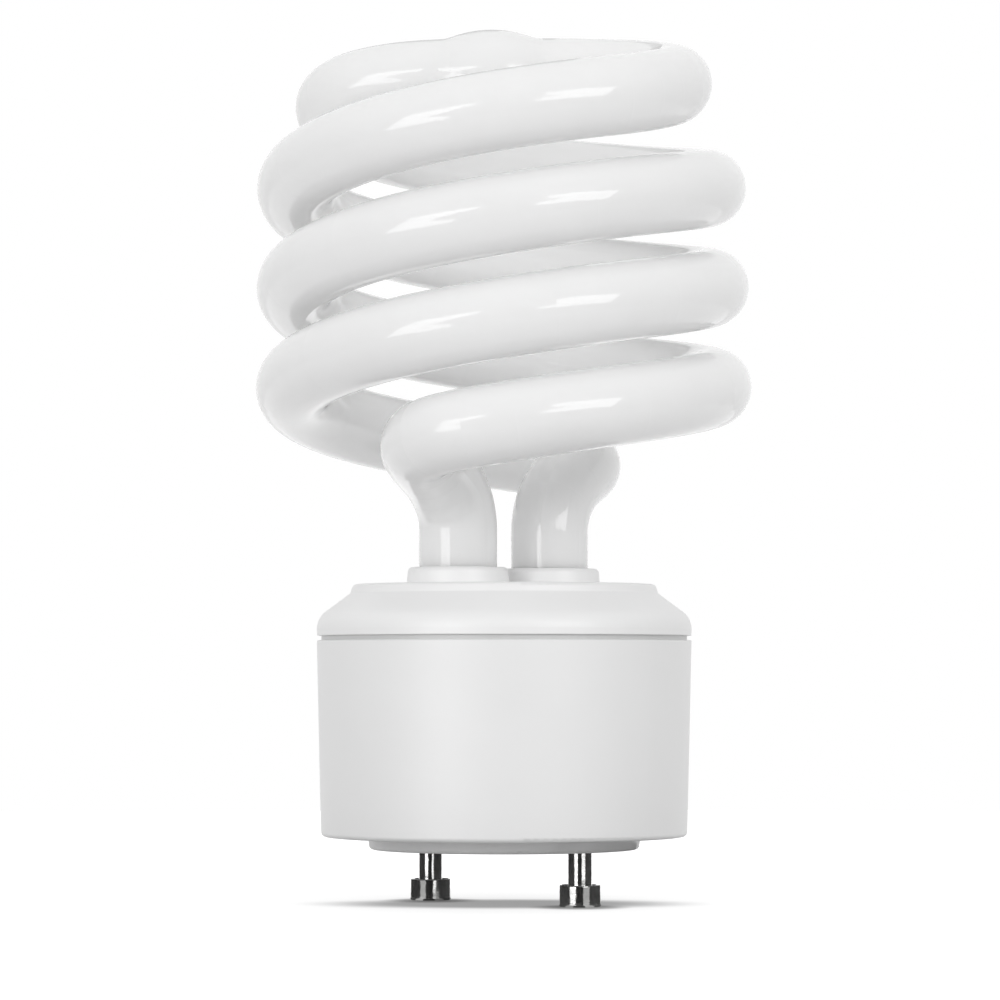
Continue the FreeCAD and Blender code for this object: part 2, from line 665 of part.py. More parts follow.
def drive_windings():
    """Three short windings, the end turns of each with a lead to the board."""
    pieces = []
    middle = V(*TOROID_PLACE, 0)
    for first in TOROID_WINDING_ANGLES:
        for i in range(TOROID_TURNS):
            angle = first + i * TOROID_TURN_STEP
            turn = drive_turn(angle)
            if i in (0, TOROID_TURNS - 1):
                foot = middle + polar(TOROID_OUTER_RADIUS, angle)
                start = BOARD_BOTTOM - TOROID_STANDOFF + TOROID_WIRE_CLEARANCE
                turn = joined(turn, lead(foot.x, foot.y, start, TOROID_WIRE / 2))
            pieces.append(turn)
    return Part.makeCompound([piece.Solids[0] for piece in pieces])


def transistor(side):
    """Flat transistor on end, with its fixing hole and three legs."""
    x = side * TRANSISTOR_X
    top = BOARD_BOTTOM - TRANSISTOR_LEG
    body = block(TRANSISTOR_THICKNESS, TRANSISTOR_WIDTH, top - TRANSISTOR_HEIGHT, top, x, TRANSISTOR_Y)
    start = V(x - TRANSISTOR_THICKNESS / 2, TRANSISTOR_Y, top - TRANSISTOR_HOLE_DROP)
    body = body.cut(Part.makeCylinder(TRANSISTOR_HOLE_RADIUS, TRANSISTOR_THICKNESS, start, V(1, 0, 0)))
    legs = [lead(x, TRANSISTOR_Y + i * TRANSISTOR_PITCH, top) for i in (-1, 0, 1)]
    return joined(body, *legs)


def dipped_capacitor(width, thickness, height, pitch, place):
    """Film capacitor dipped in resin, as a rounded pillow on two leads."""
    x, y = place
    top = BOARD_BOTTOM - DIPPED_STANDOFF
    body = block(width, thickness, top - height, top, x, y)
    body = body.makeFillet(DIPPED_ROUND, body.Edges)
    leads = [lead(x + side * pitch / 2, y, top - DIPPED_ROUND) for side in (-1, 1)]
    return joined(body, *leads)


def start_capacitor():
    return dipped_capacitor(START_WIDTH, START_THICKNESS, START_HEIGHT, START_LEAD_PITCH, START_PLACE)


def blocking_capacitor():
    return dipped_capacitor(
        BLOCKING_WIDTH, BLOCKING_THICKNESS, BLOCKING_HEIGHT, BLOCKING_LEAD_PITCH, BLOCKING_PLACE)


def disc_capacitor():
    """Ceramic disc on edge, on two leads."""
    x, y = DISC_PLACE
    centre = V(x, y - DISC_THICKNESS / 2, BOARD_BOTTOM - DIPPED_STANDOFF - DISC_RADIUS)
    disc = Part.makeCylinder(DISC_RADIUS, DISC_THICKNESS, centre, V(0, 1, 0))
    disc = disc.makeFillet(DISC_ROUND, [edge for edge in disc.Edges if isinstance(edge.Curve, Part.Circle)])
    leads = [lead(x + side * DISC_LEAD_PITCH / 2, y, centre.z) for side in (-1, 1)]
    return joined(disc, *leads)


def line_choke_core():
    """Ferrite drum of the line choke."""
    place = polar(LINE_CHOKE_CIRCLE, LINE_CHOKE_ANGLE)
    bottom = BOARD_BOTTOM - LINE_CHOKE_HEIGHT
    low = bottom + LINE_CHOKE_FLANGE
    high = BOARD_BOTTOM - LINE_CHOKE_FLANGE
    core = LINE_CHOKE_CORE_RADIUS
    return turned([
        (0, bottom, 0), (LINE_CHOKE_RADIUS, bottom, MOULD_ROUND), (LINE_CHOKE_RADIUS, low, 0), (core, low, 0),
        (core, high, 0), (LINE_CHOKE_RADIUS, high, 0), (LINE_CHOKE_RADIUS, BOARD_BOTTOM, MOULD_ROUND),
        (0, BOARD_BOTTOM, 0)], place.x, place.y)


def line_choke_winding():
    """Winding between the flanges of the drum."""
    place = polar(LINE_CHOKE_CIRCLE, LINE_CHOKE_ANGLE)
    bottom = BOARD_BOTTOM - LINE_CHOKE_HEIGHT + LINE_CHOKE_FLANGE
    top = BOARD_BOTTOM - LINE_CHOKE_FLANGE
    coil = round_bar(LINE_CHOKE_RADIUS - MOULD_ROUND, bottom, top, place.x, place.y)
    return coil.cut(round_bar(LINE_CHOKE_CORE_RADIUS, bottom, top, place.x, place.y))


def standing_axial(radius, length, width, place, way):
    """Axial part on end below the board, with a hairpin lead beside it."""
    top = BOARD_BOTTOM - AXIAL_STANDOFF
    bottom = top - length
    profile = [(0, bottom, 0), (radius, bottom, AXIAL_ROUND), (radius, top, AXIAL_ROUND), (0, top, 0)]
    body = turned(profile, place.x, place.y)
    start = V(place.x, place.y, bottom)
    drop = UP * -(HAIRPIN_DROP + width / 2)
    far = start + way * width
    board_holes.append((far.x, far.y, LEAD_RADIUS + HOLE_CLEARANCE))
    far_top = V(far.x, far.y, LEAD_TOP)
    bend = FULL_ROUND_SHARE * width / 2
    hairpin = wire_along([start, start + drop, far + drop, far_top], bend, LEAD_RADIUS)
    return joined(body, lead(place.x, place.y, top), hairpin)


def diode(number):
    angle = DIODE_FIRST_ANGLE + number * DIODE_ANGLE_STEP
    place = polar(DIODE_CIRCLE, angle)
    return standing_axial(DIODE_RADIUS, DIODE_LENGTH, DIODE_HAIRPIN_WIDTH, place, polar(1, angle))


def fuse_resistor():
    place = polar(FUSE_CIRCLE, FUSE_ANGLE)
    return standing_axial(FUSE_RADIUS, FUSE_LENGTH, FUSE_HAIRPIN_WIDTH, place, polar(1, FUSE_ANGLE))


def diac():
    return standing_axial(DIAC_RADIUS, DIAC_LENGTH, DIAC_HAIRPIN_WIDTH, V(*DIAC_PLACE, 0), V(0, -1, 0))


def resistor(x, y):
    return standing_axial(RESISTOR_RADIUS, RESISTOR_LENGTH, RESISTOR_HAIRPIN_WIDTH, V(x, y, 0), V(0, 1, 0))


def post_place(side, spread):
    return polar(BOARD_RADIUS - POST_EDGE, side * 90 + spread * POST_SPREAD_ANGLE)


def wire_post(side, spread):
    """Square post through the board for one filament wire."""
    place = post_place(side, spread)
    reach = POST_WIDTH / math.sqrt(2)
    board_holes.append((place.x, place.y, reach + POST_HOLE_CLEARANCE))
    return block(POST_WIDTH, POST_WIDTH, BOARD_BOTTOM - POST_TAIL, BOARD_TOP + POST_HEIGHT, place.x, place.y)


def filament_lead(side, spread):
    """Wire from a leg's seal to its post, wrapped round the post."""
    leg = polar(LEG_SPACING / 2, LEG_ANGLE if side < 0 else LEG_ANGLE + 180)
    post = post_place(side, spread)
    offset = V(math.copysign(FILAMENT_EXIT_OFFSET, post.x), 0, 0)
    start = leg + offset + V(0, 0, LEG_END)
    wrap_bottom = BOARD_TOP + (POST_HEIGHT - WRAP_HEIGHT) / 2
    end = post + V(0, 0, wrap_bottom + WRAP_HEIGHT / 2)
    inner = POST_WIDTH / math.sqrt(2)
    wrap = round_bar(inner + WRAP_THICKNESS, wrap_bottom, wrap_bottom + WRAP_HEIGHT, post.x, post.y)
    wire = wire_along([start, start - UP * FILAMENT_DROP, end], FILAMENT_BEND, FILAMENT_WIRE_RADIUS)
    return joined(wire, wrap).cut(round_bar(inner, wrap_bottom, wrap_bottom + WRAP_HEIGHT, post.x, post.y))


def supply_lead(side):
    """Insulated wire from a pin's tail up to the board, bared at both ends."""
    low = V(side * PIN_SPACING / 2, 0, PIN_TOP)
    high = V(side * (PIN_SPACING / 2 + SUPPLY_SHIFT), 0, BOARD_BOTTOM)
    turn = math.acos(1 - SUPPLY_SHIFT / (2 * SUPPLY_BEND))
    rise = SUPPLY_BEND * math.tan(turn / 2)
    first = low + UP * (SUPPLY_STRAIGHT + rise)
    second = V(high.x, 0, first.z + SUPPLY_SHIFT / math.tan(turn))
    jacket = wire_along([low, first, second, high], FULL_ROUND_SHARE * SUPPLY_BEND, SUPPLY_WIRE_RADIUS)
    core = round_bar(SUPPLY_CORE_RADIUS, PIN_TOP - PIN_BORE_DEPTH, PIN_TOP, low.x, 0)
    return joined(jacket, core, lead(high.x, 0, BOARD_BOTTOM, SUPPLY_CORE_RADIUS))


def circuit_board():
    """Round board with a hole for every lead."""
    board = round_bar(BOARD_RADIUS, BOARD_BOTTOM, BOARD_TOP)
    return board.cut([round_bar(radius, BOARD_BOTTOM, BOARD_TOP, x, y) for x, y, radius in board_holes])


def lamp():
    """Every piece by name. The board comes last, because the other parts place its holes."""
    pieces = {
        "spiral_tube": spiral_tube(),
        "top_cover": top_cover(),
        "ballast_housing": ballast_housing(),
        "contact_pin_a": contact_pin(-PIN_SPACING / 2),
        "contact_pin_b": contact_pin(PIN_SPACING / 2),
        "tube_cement_a": tube_cement(0),
        "tube_cement_b": tube_cement(180),
        "filter_capacitor": filter_capacitor(),
        "choke_core": choke_core(),
        "choke_bobbin": choke_bobbin(),
        "choke_winding": choke_winding(),
        "drive_core": drive_core(),
        "drive_windings": drive_windings(),
        "transistor_a": transistor(-1),
        "transistor_b": transistor(1),
        "start_capacitor": start_capacitor(),
        "blocking_capacitor": blocking_capacitor(),
        "snubber_capacitor": disc_capacitor(),
        "line_choke_core": line_choke_core(),
        "line_choke_winding": line_choke_winding(),
        "fuse_resistor": fuse_resistor(),
        "diac": diac(),
        "supply_lead_a": supply_lead(-1),
        "supply_lead_b": supply_lead(1),
    }
    for number, letter in enumerate("abcd"):
        side = -1 if number < 2 else 1
        spread = -1 if number % 2 else 1
        pieces["rectifier_diode_" + letter] = diode(number)
        pieces["resistor_" + letter] = resistor(side * RESISTOR_X, RESISTOR_YS[number % 2])
        pieces["wire_post_" + letter] = wire_post(side, spread)
        pieces["filament_lead_" + letter] = filament_lead(side, spread)
    pieces["circuit_board"] = circuit_board()
    return pieces


os.makedirs("parts", exist_ok=True)
for name, shape in lamp().items():
    shape.exportStep("parts/" + name + ".step")
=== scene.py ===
"""Studio scene of a spiral compact fluorescent lamp.

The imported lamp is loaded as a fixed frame, in metres with +Z up. Each operator dresses one piece or a
group of like pieces with its finish. The last one sets the stage: a white room, a pale floor, two
softboxes and a fill light beside the camera, cards that only gloss shows, and the camera.
"""

import math

import bpy
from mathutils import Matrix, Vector


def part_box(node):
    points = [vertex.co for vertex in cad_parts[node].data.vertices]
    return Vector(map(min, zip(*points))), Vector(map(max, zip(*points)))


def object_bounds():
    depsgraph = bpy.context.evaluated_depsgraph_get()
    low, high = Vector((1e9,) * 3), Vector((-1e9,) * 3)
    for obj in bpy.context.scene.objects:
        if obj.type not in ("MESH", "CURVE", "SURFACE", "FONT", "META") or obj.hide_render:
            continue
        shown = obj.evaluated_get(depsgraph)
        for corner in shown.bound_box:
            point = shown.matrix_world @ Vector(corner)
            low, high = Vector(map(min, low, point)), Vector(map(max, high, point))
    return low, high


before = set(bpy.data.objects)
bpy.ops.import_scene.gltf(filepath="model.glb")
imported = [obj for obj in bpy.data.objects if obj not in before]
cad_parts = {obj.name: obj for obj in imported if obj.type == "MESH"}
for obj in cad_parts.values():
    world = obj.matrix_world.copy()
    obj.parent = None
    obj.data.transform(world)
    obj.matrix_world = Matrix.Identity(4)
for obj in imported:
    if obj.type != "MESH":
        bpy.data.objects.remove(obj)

bl_info = {
    "name": "Spiral Lamp Studio",
    "version": (1, 0, 0),
    "blender": (4, 5, 0),
    "location": "3D View > Sidebar > Lamp",
    "description": "Finishes and studio for a spiral compact fluorescent lamp",
    "category": "Object",
}

CAD_LOW, CAD_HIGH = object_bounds()
MM = 0.001
UP = Vector((0, 0, 1))
LAMP_CENTRE = (CAD_LOW + CAD_HIGH) / 2

# Pieces that come in twos and fours
PINS = ("contact_pin_a", "contact_pin_b")
FOURFOLD = "abcd"

# Sizes of the patterns in the finishes
POWDER_CLOUD = 14 * MM
GLASS_WAVE = 9 * MM
FLOW_MARK = 18 * MM
SATIN_PATCH = 5 * MM
MOULD_GRAIN = 0.35 * MM
PLATING_CLOUD = 1.2 * MM
POLISH_PATCH = 0.5 * MM
PIN_DENT = 0.9 * MM

# Where a pattern's first and second colour stand, and how far roughness strays from its middle
COLOUR_STOPS = (0.3, 0.7)
ROUGHNESS_STRAY = 0.05

# How dark the darker colour of a pattern is, as a share
DULL_PLATING = 0.8
DULL_MOTTLE = 0.85
# The wire's darker colour is painted shade in the grooves between its turns
WIRE_GROOVE = 0.45

# Mottled finishes: colour, size of the mottling, roughness, height of the grain
MOTTLED = {
    "black_resin": ((0.03, 0.03, 0.035), 2 * MM, 0.55, 0.01 * MM),
    "black_sleeve": ((0.02, 0.025, 0.05), 4 * MM, 0.25, 0.004 * MM),
    "ferrite": ((0.05, 0.05, 0.055), 0.8 * MM, 0.6, 0.02 * MM),
    "nylon": ((0.66, 0.62, 0.5), 5 * MM, 0.45, 0.005 * MM),
    "board_laminate": ((0.42, 0.25, 0.08), 1.5 * MM, 0.5, 0.01 * MM),
    "cement": ((0.68, 0.66, 0.6), 1.0 * MM, 0.85, 0.03 * MM),
    "tinned": ((0.6, 0.6, 0.58), 0.6 * MM, 0.3, 0.005 * MM),
    "white_jacket": ((0.75, 0.75, 0.74), 3 * MM, 0.4, 0.004 * MM),
    "green_resin": ((0.04, 0.17, 0.06), 3 * MM, 0.2, 0.01 * MM),
    "brown_resin": ((0.2, 0.06, 0.02), 3 * MM, 0.2, 0.01 * MM),
    "blue_resin": ((0.02, 0.08, 0.28), 2 * MM, 0.2, 0.01 * MM),
    "beige_lacquer": ((0.58, 0.42, 0.22), 2 * MM, 0.3, 0.006 * MM),
}
BARE_METAL = ("tinned",)

# Enamelled wire: its colour, its thickness, and how uneven its turns lie
WIRE_COLOUR = (0.6, 0.2, 0.07)
WIRE = 0.2 * MM
WIRE_UNEVEN = 0.3

# Cloth of the dark cards: size of the mottling, roughness, height of the weave
CLOTH = (10 * MM, 0.9, 0.1 * MM)

# Soft lights: degrees to the right of the camera, degrees above the horizon, width and height in degrees
LEFT_LIGHT = (-34, 8, 34, 25)
RIGHT_LIGHT = (36, 22, 35, 23)
FRONT_LIGHT = (0, 11, 40, 16)
LEFT_SHARE = 1.1
RIGHT_SHARE = 1.0

# Corners of the softboxes' faces: degrees to the right of the camera, degrees above the horizon
LEFT_FACE = (
    (-52, -5), (-46, 21), (-30, 23), (-11, 24), (-13, 18), (-33, 7), (-21, -1), (-22, -8), (-36, -7))
RIGHT_FACE = (
    (16, 7), (16, 13), (28, 17), (20, 20), (20, 29), (36, 27), (55, 22), (50, 3), (36, 5))

# Grey card behind the lamp: degrees to the right of the camera, radius and heights
BACK_TURN = (178, 190)
BACK_RADIUS = 0.3
BACK_FOOT = 0.18
BACK_TOP = 0.38

# Dark and grey cards round each pin: degrees to the right of the camera
PIN_FLAGS = {"near": (-22, 14), "right": (44, 130), "back": (165, 195), "left": (230, 310)}
PIN_GREYS = {"contact_pin_a": (-52, -22), "contact_pin_b": (14, 46)}
PIN_FLAG_RADIUS = 8 * MM
PIN_FLAG_HEIGHT = 7.5 * MM
PIN_HEAD_HEIGHT = 2.8 * MM
PIN_HEAD_RADIUS = 2.5 * MM
CARD_GAP = 0.1 * MM
CARD_STEPS = 24

# Foot of the seam between housing and cover, and the height over which the painted shade in its groove
# fades in
SEAM_HEIGHT = 32 * MM
SEAM_EDGE = 0.15 * MM

# Light in the core of the coil
CORE_HEIGHT = 80 * MM
CORE_WIDTH = 10 * MM
CORE_LENGTH = 30 * MM

# Floor: corners of its round edge, and radii between which its colour turns from the painted shade's
# darker colour to its own
FLOOR_CORNERS = 96
SHADE_NEAR = 15 * MM
SHADE_FAR = 60 * MM

# Width of the camera's sensor, in mm
SENSOR = 36


def four(stem):
    """Names of four like pieces."""
    return [stem + "_" + letter for letter in FOURFOLD]


class LampGlass(bpy.types.PropertyGroup):
    """Finish of the milky glass tube."""

    coating: bpy.props.FloatVectorProperty(
        name="Coating", description="Colour of the white powder inside the tube",
        subtype="COLOR", size=3, min=0, max=1, default=(0.93, 0.93, 0.93))
    thin_coating: bpy.props.FloatVectorProperty(
        name="Thin coating", description="Colour where the powder lies a little thinner",
        subtype="COLOR", size=3, min=0, max=1, default=(0.9, 0.9, 0.9))
    gloss: bpy.props.FloatProperty(
        name="Gloss roughness", description="Roughness of the clear glass over the powder",
        subtype="FACTOR", min=0, max=1, default=0.005)
    depth: bpy.props.FloatProperty(
        name="Depth", description="How far light spreads in the tube",
        unit="LENGTH", default=4 * MM)
    ripple: bpy.props.FloatProperty(
        name="Ripple", description="Height of the slow waves of drawn glass",
        unit="LENGTH", default=0.02 * MM)


class LampPlastic(bpy.types.PropertyGroup):
    """Finish of the moulded housing and cover."""

    housing: bpy.props.FloatVectorProperty(
        name="Housing", description="Colour of the housing's plastic",
        subtype="COLOR", size=3, min=0, max=1, default=(0.93, 0.93, 0.93))
    cover: bpy.props.FloatVectorProperty(
        name="Cover", description="Colour of the cover's whiter plastic",
        subtype="COLOR", size=3, min=0, max=1, default=(0.95, 0.95, 0.95))
    # Colour of the painted shade in the groove between housing and cover
    seam: bpy.props.FloatVectorProperty(
        name="Seam", description="Colour of the dusty groove between housing and cover",
        subtype="COLOR", size=3, min=0, max=1, default=(0.72, 0.72, 0.72))
    flow: bpy.props.FloatProperty(
        name="Flow marks", description="How much darker the flow marks are than the plastic",
        subtype="FACTOR", min=0, max=1, default=0.025)
    roughness: bpy.props.FloatProperty(
        name="Roughness", description="Roughness of the satin skin",
        subtype="FACTOR", min=0, max=1, default=0.42)
    grain: bpy.props.FloatProperty(
        name="Grain", description="Height of the spark-eroded grain",
        unit="LENGTH", default=0.006 * MM)


class LampPlating(bpy.types.PropertyGroup):
    """Finish of the plated contact pins."""

    colour: bpy.props.FloatVectorProperty(
        name="Colour", description="Colour of the plating",
        subtype="COLOR", size=3, min=0, max=1, default=(0.85, 0.85, 0.84))
    roughness: bpy.props.FloatProperty(
        name="Roughness", description="Roughness of the plating",
        subtype="FACTOR", min=0, max=1, default=0.12)
    dents: bpy.props.FloatProperty(
        name="Dents", description="Height of the shallow dents of the struck pin",
        unit="LENGTH", default=0.03 * MM)


class LampStage(bpy.types.PropertyGroup):
    """Camera, lights, flags and floor."""

    azimuth: bpy.props.FloatProperty(
        name="Camera azimuth", description="Turn of the camera from the -Y side towards +X",
        subtype="ANGLE", default=math.radians(40.8))
    distance: bpy.props.FloatProperty(
        name="Camera distance", description="Distance from the lamp's axis",
        unit="LENGTH", default=528 * MM)
    height: bpy.props.FloatProperty(
        name="Camera height", description="Height above the floor",
        unit="LENGTH", default=28.6 * MM)
    aim_height: bpy.props.FloatProperty(
        name="Aim height", description="Height of the frame's centre on the lamp's axis",
        unit="LENGTH", default=49.1 * MM)
    aim_side: bpy.props.FloatProperty(
        name="Aim side", description="Frame's centre to the right of the axis",
        unit="LENGTH", default=-0.51 * MM)
    lens: bpy.props.FloatProperty(
        name="Lens", description="Focal length in mm on a 36 mm sensor", default=156.0)
    light_distance: bpy.props.FloatProperty(
        name="Light distance", description="Distance of the softboxes from the lamp",
        unit="LENGTH", default=0.9)
    light_level: bpy.props.FloatProperty(
        name="Light level", description="Power of each softbox for a square metre of its face",
        default=4.85)
    front_share: bpy.props.FloatProperty(
        name="Front share",
        description="Level of the light beside the camera, as a share of the softboxes'",
        subtype="FACTOR", min=0, default=0.65)
    face_level: bpy.props.FloatProperty(
        name="Softbox face", description="Brightness of the softboxes' faces in gloss", default=4.2)
    fill_high: bpy.props.FloatProperty(
        name="Fill from above", description="Strength of the room's fill light from above",
        default=0.97)
    fill_low: bpy.props.FloatProperty(
        name="Fill from below", description="Strength of the room's fill light from below", default=0.5)
    core_power: bpy.props.FloatProperty(
        name="Core light", description="Power of the light in the coil's core, in watts",
        default=0.0013)
    flag_colour: bpy.props.FloatVectorProperty(
        name="Flag colour", description="Colour of the dark cards before the pins",
        subtype="COLOR", size=3, min=0, max=1, default=(0.1, 0.1, 0.1))
    dim_colour: bpy.props.FloatVectorProperty(
        name="Dim colour", description="Colour of the dim cards round the pins",
        subtype="COLOR", size=3, min=0, max=1, default=(0.24, 0.24, 0.24))
    grey_level: bpy.props.FloatProperty(
        name="Grey level",
        description="Brightness in gloss of the grey cards beside the pins and behind the lamp",
        default=0.45)
    floor_radius: bpy.props.FloatProperty(
        name="Floor radius", description="Radius of the pale floor", unit="LENGTH", default=0.35)
    floor_colour: bpy.props.FloatVectorProperty(
        name="Floor colour", description="Colour of the floor",
        subtype="COLOR", size=3, min=0, max=1, default=(0.64, 0.64, 0.64))
    floor_lift: bpy.props.FloatProperty(
        name="Floor lift", description="Glow that brings the floor up to white away from the lamp",
        default=0.85)
    # Painted shadow on the floor: a lower glow and a darker colour under the lamp, and a lower glow
    # round each pin's foot
    shade_lift: bpy.props.FloatProperty(
        name="Shade lift", description="Glow of the floor under the lamp", default=0.3)
    shade_colour: bpy.props.FloatVectorProperty(
        name="Shade colour", description="Colour of the floor under the lamp",
        subtype="COLOR", size=3, min=0, max=1, default=(0.25, 0.25, 0.25))
    shade_radius: bpy.props.FloatProperty(
        name="Shade radius", description="Half width within which the floor glows least",
        unit="LENGTH", default=12 * MM)
    glow_radius: bpy.props.FloatProperty(
        name="Glow radius", description="Half width from which the floor glows fully",
        unit="LENGTH", default=27 * MM)
    shade_slim: bpy.props.FloatProperty(
        name="Shade slimness", description="Width of the shade over its depth towards the camera",
        default=2.0)
    contact_lift: bpy.props.FloatProperty(
        name="Contact lift",
        description="Share of the floor's glow that is left at the edge of a pin's foot",
        subtype="FACTOR", min=0, max=1, default=0.35)
    contact_radius: bpy.props.FloatProperty(
        name="Contact radius", description="Distance from a pin's axis at which its contact shade ends",
        unit="LENGTH", default=7 * MM)


# Finishes


def plain_finish(name):
    """New material with its node tree, its surface shader and its object coordinates."""
    material = bpy.data.materials.new(name)
    material.use_nodes = True
    tree = material.node_tree
    shader = tree.nodes["Principled BSDF"]
    place = tree.nodes.new("ShaderNodeTexCoord")
    return material, tree, shader, place.outputs["Object"]


def noise(tree, place, size, detail=2.0, roughness=0.5):
    """Noise with features of one size, in metres."""
    node = tree.nodes.new("ShaderNodeTexNoise")
    node.inputs["Scale"].default_value = 1 / size
    node.inputs["Detail"].default_value = detail
    node.inputs["Roughness"].default_value = roughness
    tree.links.new(place, node.inputs["Vector"])
    return node.outputs["Fac"]


def bands(tree, place, direction, size, distortion):
    """Waves of one size across one axis."""
    node = tree.nodes.new("ShaderNodeTexWave")
    node.bands_direction = direction
    node.inputs["Scale"].default_value = 1 / size
    node.inputs["Distortion"].default_value = distortion
    tree.links.new(place, node.inputs["Vector"])
    return node.outputs["Fac"]


def tint(tree, shader, pattern, first, second):
    """Base colour that moves between two colours with a pattern."""
    ramp = tree.nodes.new("ShaderNodeValToRGB")
    for stop, position, colour in zip(ramp.color_ramp.elements, COLOUR_STOPS, (first, second)):
        stop.position = position
        stop.color = (*colour, 1)
    tree.links.new(pattern, ramp.inputs["Fac"])
    tree.links.new(ramp.outputs["Color"], shader.inputs["Base Color"])


def polish(tree, shader, pattern, roughness):
    """Roughness that strays a little to both sides with a pattern."""
    reach = tree.nodes.new("ShaderNodeMapRange")
    reach.inputs["To Min"].default_value = roughness - ROUGHNESS_STRAY
    reach.inputs["To Max"].default_value = roughness + ROUGHNESS_STRAY
    tree.links.new(pattern, reach.inputs["Value"])
    tree.links.new(reach.outputs["Result"], shader.inputs["Roughness"])


def relief(tree, shader, pattern, height):
    """Bump of one height."""
    bump = tree.nodes.new("ShaderNodeBump")
    bump.inputs["Strength"].default_value = 1.0
    bump.inputs["Distance"].default_value = height
    tree.links.new(pattern, bump.inputs["Height"])
    tree.links.new(bump.outputs["Normal"], shader.inputs["Normal"])
    return bump.outputs["Normal"]


def milky_glass(glass):
    """White powder under clear gloss glass."""
    material, tree, shader, place = plain_finish("milky_glass")
    tint(tree, shader, noise(tree, place, POWDER_CLOUD), glass.thin_coating, glass.coating)
    shader.inputs["Roughness"].default_value = 0.7
    shader.inputs["Specular IOR Level"].default_value = 0.0
    shader.inputs["Subsurface Weight"].default_value = 1.0
    shader.inputs["Subsurface Radius"].default_value = (1, 1, 1)
    shader.inputs["Subsurface Scale"].default_value = glass.depth
    shader.inputs["Coat Weight"].default_value = 1.0
    shader.inputs["Coat Roughness"].default_value = glass.gloss
    shader.inputs["Coat IOR"].default_value = 1.5
    ripple = relief(tree, shader, noise(tree, place, GLASS_WAVE, 1.0), glass.ripple)
    tree.links.new(ripple, shader.inputs["Coat Normal"])
    return material


def satin_plastic(plastic, name, colour):
    """Moulded plastic with a fine grain and faint flow marks."""
    material, tree, shader, place = plain_finish(name)
    marks = [value * (1 - plastic.flow) for value in colour]
    tint(tree, shader, noise(tree, place, FLOW_MARK, 3.0), marks, colour)
    polish(tree, shader, noise(tree, place, SATIN_PATCH), plastic.roughness)
    relief(tree, shader, noise(tree, place, MOULD_GRAIN, 3.0, 0.6), plastic.grain)
    return material


def paint_seam_shade(material, colour):
    """Darkens the housing's colour in the groove of the seam, as painted shade."""
    tree = material.node_tree
    shader = tree.nodes["Principled BSDF"]
    parts = tree.nodes.new("ShaderNodeSeparateXYZ")
    tree.links.new(tree.nodes["Texture Coordinate"].outputs["Object"], parts.inputs["Vector"])
    above = tree.nodes.new("ShaderNodeMapRange")
    above.inputs["From Min"].default_value = SEAM_HEIGHT - SEAM_EDGE
    above.inputs["From Max"].default_value = SEAM_HEIGHT
    tree.links.new(parts.outputs["Z"], above.inputs["Value"])
    seam_shade_mix = tree.nodes.new("ShaderNodeMix")
    seam_shade_mix.data_type = "RGBA"
    plain, shaded = [socket for socket in seam_shade_mix.inputs if socket.type == "RGBA"]
    result = [socket for socket in seam_shade_mix.outputs if socket.type == "RGBA"][0]
    shaded.default_value = (*colour, 1)
    tree.links.new(above.outputs["Result"], seam_shade_mix.inputs["Factor"])
    tree.links.new(shader.inputs["Base Color"].links[0].from_socket, plain)
    tree.links.new(result, shader.inputs["Base Color"])


def bright_plating(plating):
    """Bright plating over turned metal."""
    material, tree, shader, place = plain_finish("bright_plating")
    shader.inputs["Metallic"].default_value = 1.0
    dull = [DULL_PLATING * value for value in plating.colour]
    tint(tree, shader, noise(tree, place, PLATING_CLOUD, 4.0), dull, plating.colour)
    polish(tree, shader, noise(tree, place, POLISH_PATCH), plating.roughness)
    relief(tree, shader, noise(tree, place, PIN_DENT, 3.0), plating.dents)
    return material


def mottled(name, colour, size, roughness, grain, metallic=0.0):
    """Plain material with a mottled colour and a fine grain."""
    material, tree, shader, place = plain_finish(name)
    pattern = noise(tree, place, size, 3.0)
    tint(tree, shader, pattern, [DULL_MOTTLE * value for value in colour], colour)
    shader.inputs["Metallic"].default_value = metallic
    polish(tree, shader, pattern, roughness)
    relief(tree, shader, noise(tree, place, size / 4), grain)
    return material


def wound_wire(name, direction):
    """Enamelled wire laid turn beside turn along one axis."""
    material, tree, shader, place = plain_finish(name)
    turns = bands(tree, place, direction, WIRE * math.tau, WIRE_UNEVEN)
    # Painted shade: the colour is darker in the grooves between the turns
    tint(tree, shader, turns, [WIRE_GROOVE * value for value in WIRE_COLOUR], WIRE_COLOUR)
    shader.inputs["Metallic"].default_value = 0.9
    shader.inputs["Roughness"].default_value = 0.3
    shader.inputs["Coat Weight"].default_value = 0.6
    relief(tree, shader, turns, WIRE / 2)
    return material


def dress(names, material):
    """Gives CAD nodes their finish."""
    for name in names:
        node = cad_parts[name]
        node.data.materials.clear()
        node.data.materials.append(material)


# Pieces


class LAMP_OT_glass(bpy.types.Operator):
    """Dress the spiral tube in milky glass"""

    bl_idname = "lamp.glass"
    bl_label = "Glass Tube"

    def execute(self, context):
        dress(["spiral_tube"], milky_glass(context.scene.lamp_glass))
        return {"FINISHED"}


class LAMP_OT_mouldings(bpy.types.Operator):
    """Dress the housing and the top cover in satin plastic, with painted shade in the seam's groove"""

    bl_idname = "lamp.mouldings"
    bl_label = "Housing and Cover"

    def execute(self, context):
        plastic = context.scene.lamp_plastic
        housing = satin_plastic(plastic, "housing_plastic", plastic.housing)
        # Painted shade in the groove of the seam
        paint_seam_shade(housing, plastic.seam)
        dress(["ballast_housing"], housing)
        dress(["top_cover"], satin_plastic(plastic, "cover_plastic", plastic.cover))
        return {"FINISHED"}


class LAMP_OT_pins(bpy.types.Operator):
    """Plate the contact pins"""

    bl_idname = "lamp.pins"
    bl_label = "Contact Pins"

    def execute(self, context):
        dress(PINS, bright_plating(context.scene.lamp_plating))
        return {"FINISHED"}


